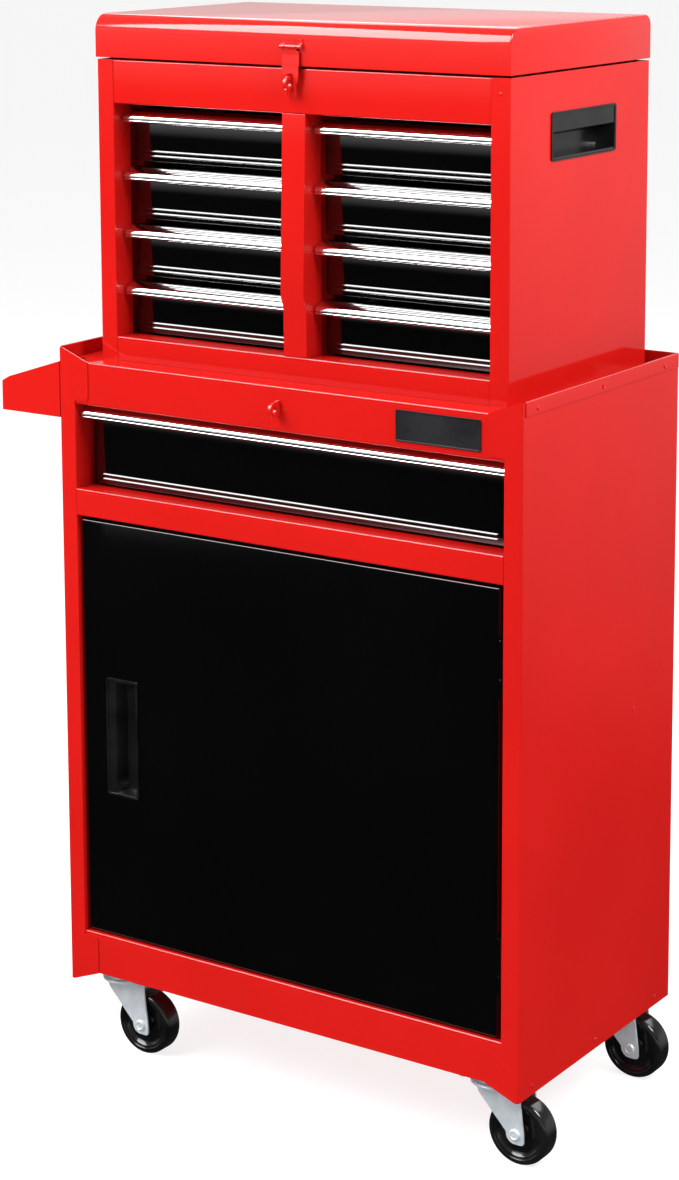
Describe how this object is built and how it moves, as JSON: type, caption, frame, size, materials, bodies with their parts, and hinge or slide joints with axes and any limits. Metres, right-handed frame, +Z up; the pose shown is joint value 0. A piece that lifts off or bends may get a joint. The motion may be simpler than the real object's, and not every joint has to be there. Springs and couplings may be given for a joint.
{
  "type": "rolling tool chest",
  "caption": "Rolling tool chest: lidded top chest with two columns of drawers on a cabinet with a wide drawer, a hinged door, a side tray and swivel casters.",
  "frame": {"origin": "centre of the whole object in plan, at floor level under the wheels", "axes": "+Z up, -Y towards the user in front of the drawers, +X to the right as seen from the front"},
  "size_m": [0.6168, 0.3096, 1.0465],
  "materials": {
    "red_powder_coat": "gloss",
    "black_powder_coat": "gloss",
    "bright_aluminium": "bright",
    "black_plastic": "satin",
    "grey_plate": "satin",
    "wheel_plastic": "gloss",
    "zinc_plate": "bright zinc"
  },
  "bodies": {
    "cabinet": {"cabinet_side_left": "red_powder_coat", "cabinet_side_right": "red_powder_coat", "cabinet_back": "red_powder_coat", "cabinet_floor": "red_powder_coat", "cabinet_well": "red_powder_coat", "cabinet_rails": "red_powder_coat", "cabinet_runners": "zinc_plate", "name_plate": "grey_plate", "cabinet_staple": "red_powder_coat", "door_catch": "black_plastic", "door_hinge_frame_halves": "black_powder_coat", "side_tray": "red_powder_coat", "caster_plates": "zinc_plate", "caster_bolts": "zinc_plate"},
    "top_chest": {"chest_side_left": "red_powder_coat", "chest_side_right": "red_powder_coat", "chest_back": "red_powder_coat", "chest_bottom": "red_powder_coat", "chest_rails": "red_powder_coat", "chest_centre_post": "red_powder_coat", "chest_tray_floor": "red_powder_coat", "chest_slide_posts": "red_powder_coat", "chest_runners": "zinc_plate", "chest_handle_cups": "black_plastic", "chest_staple": "red_powder_coat", "lid_hinge_chest_halves": "red_powder_coat"},
    "lid": {"lid": "red_powder_coat", "lid_hinge_lid_leaves": "red_powder_coat", "hasp_bracket": "red_powder_coat"},
    "hasp": {"hasp_flap": "red_powder_coat"},
    "wide_drawer": {"wide_drawer": "black_powder_coat", "wide_drawer_pull": "bright_aluminium"},
    "door": {"door_skin": "black_powder_coat", "door_inner_panel": "black_powder_coat", "door_handle_cup": "black_plastic", "door_hinge_door_leaves": "black_powder_coat"},
    "drawer_left_1": {"drawer_left_1": "black_powder_coat", "pull_left_1": "bright_aluminium"},
    "drawer_left_2": {"drawer_left_2": "black_powder_coat", "pull_left_2": "bright_aluminium"},
    "drawer_left_3": {"drawer_left_3": "black_powder_coat", "pull_left_3": "bright_aluminium"},
    "drawer_left_4": {"drawer_left_4": "black_powder_coat", "pull_left_4": "bright_aluminium"},
    "drawer_right_1": {"drawer_right_1": "black_powder_coat", "pull_right_1": "bright_aluminium"},
    "drawer_right_2": {"drawer_right_2": "black_powder_coat", "pull_right_2": "bright_aluminium"},
    "drawer_right_3": {"drawer_right_3": "black_powder_coat", "pull_right_3": "bright_aluminium"},
    "drawer_right_4": {"drawer_right_4": "black_powder_coat", "pull_right_4": "bright_aluminium"},
    "fork_front_left": {"caster_fork_front_left": "zinc_plate"},
    "wheel_front_left": {"caster_wheel_front_left": "wheel_plastic"},
    "fork_front_right": {"caster_fork_front_right": "zinc_plate"},
    "wheel_front_right": {"caster_wheel_front_right": "wheel_plastic"},
    "fork_back_left": {"caster_fork_back_left": "zinc_plate"},
    "wheel_back_left": {"caster_wheel_back_left": "wheel_plastic"},
    "fork_back_right": {"caster_fork_back_right": "zinc_plate"},
    "wheel_back_right": {"caster_wheel_back_right": "wheel_plastic"}
  },
  "joints": [
    {"name": "chest_lift", "type": "slide", "parent": "cabinet", "child": "top_chest", "axis": [0, 0, 1], "range_m": [0, 0.03]},
    {"name": "lid_hinge", "type": "hinge", "parent": "top_chest", "child": "lid", "pos_m": [0.02813, 0.14995, 1.00415], "axis": [-1, 0, 0], "range_deg": [0, 95]},
    {"name": "hasp_hinge", "type": "hinge", "parent": "lid", "child": "hasp", "pos_m": [0.02813, -0.11575, 1.0228], "axis": [-1, 0, 0], "range_deg": [0, 165]},
    {"name": "wide_drawer_slide", "type": "slide", "parent": "cabinet", "child": "wide_drawer", "axis": [0, -1, 0], "range_m": [0, 0.21]},
    {"name": "door_hinge", "type": "hinge", "parent": "cabinet", "child": "door", "pos_m": [0.26863, -0.13725, 0.3], "axis": [0, 0, 1], "range_deg": [0, 110]},
    {"name": "drawer_left_1_slide", "type": "slide", "parent": "top_chest", "child": "drawer_left_1", "axis": [0, -1, 0], "range_m": [0, 0.18]},
    {"name": "drawer_left_2_slide", "type": "slide", "parent": "top_chest", "child": "drawer_left_2", "axis": [0, -1, 0], "range_m": [0, 0.18]},
    {"name": "drawer_left_3_slide", "type": "slide", "parent": "top_chest", "child": "drawer_left_3", "axis": [0, -1, 0], "range_m": [0, 0.18]},
    {"name": "drawer_left_4_slide", "type": "slide", "parent": "top_chest", "child": "drawer_left_4", "axis": [0, -1, 0], "range_m": [0, 0.18]},
    {"name": "drawer_right_1_slide", "type": "slide", "parent": "top_chest", "child": "drawer_right_1", "axis": [0, -1, 0], "range_m": [0, 0.18]},
    {"name": "drawer_right_2_slide", "type": "slide", "parent": "top_chest", "child": "drawer_right_2", "axis": [0, -1, 0], "range_m": [0, 0.18]},
    {"name": "drawer_right_3_slide", "type": "slide", "parent": "top_chest", "child": "drawer_right_3", "axis": [0, -1, 0], "range_m": [0, 0.18]},
    {"name": "drawer_right_4_slide", "type": "slide", "parent": "top_chest", "child": "drawer_right_4", "axis": [0, -1, 0], "range_m": [0, 0.18]},
    {"name": "swivel_front_left", "type": "hinge", "parent": "cabinet", "child": "fork_front_left", "pos_m": [-0.19037, -0.10725, 0.078], "axis": [0, 0, 1], "continuous": true},
    {"name": "roll_front_left", "type": "hinge", "parent": "fork_front_left", "child": "wheel_front_left", "pos_m": [-0.16037, -0.10725, 0.03175], "axis": [0, 1, 0], "continuous": true},
    {"name": "swivel_front_right", "type": "hinge", "parent": "cabinet", "child": "fork_front_right", "pos_m": [0.24663, -0.10725, 0.078], "axis": [0, 0, 1], "continuous": true},
    {"name": "roll_front_right", "type": "hinge", "parent": "fork_front_right", "child": "wheel_front_right", "pos_m": [0.27663, -0.10725, 0.03175], "axis": [0, 1, 0], "continuous": true},
    {"name": "swivel_back_left", "type": "hinge", "parent": "cabinet", "child": "fork_back_left", "pos_m": [-0.19037, 0.11575, 0.078], "axis": [0, 0, 1], "continuous": true},
    {"name": "roll_back_left", "type": "hinge", "parent": "fork_back_left", "child": "wheel_back_left", "pos_m": [-0.16037, 0.11575, 0.03175], "axis": [0, 1, 0], "continuous": true},
    {"name": "swivel_back_right", "type": "hinge", "parent": "cabinet", "child": "fork_back_right", "pos_m": [0.24663, 0.11575, 0.078], "axis": [0, 0, 1], "continuous": true},
    {"name": "roll_back_right", "type": "hinge", "parent": "fork_back_right", "child": "wheel_back_right", "pos_m": [0.27663, 0.11575, 0.03175], "axis": [0, 1, 0], "continuous": true}
  ]
}
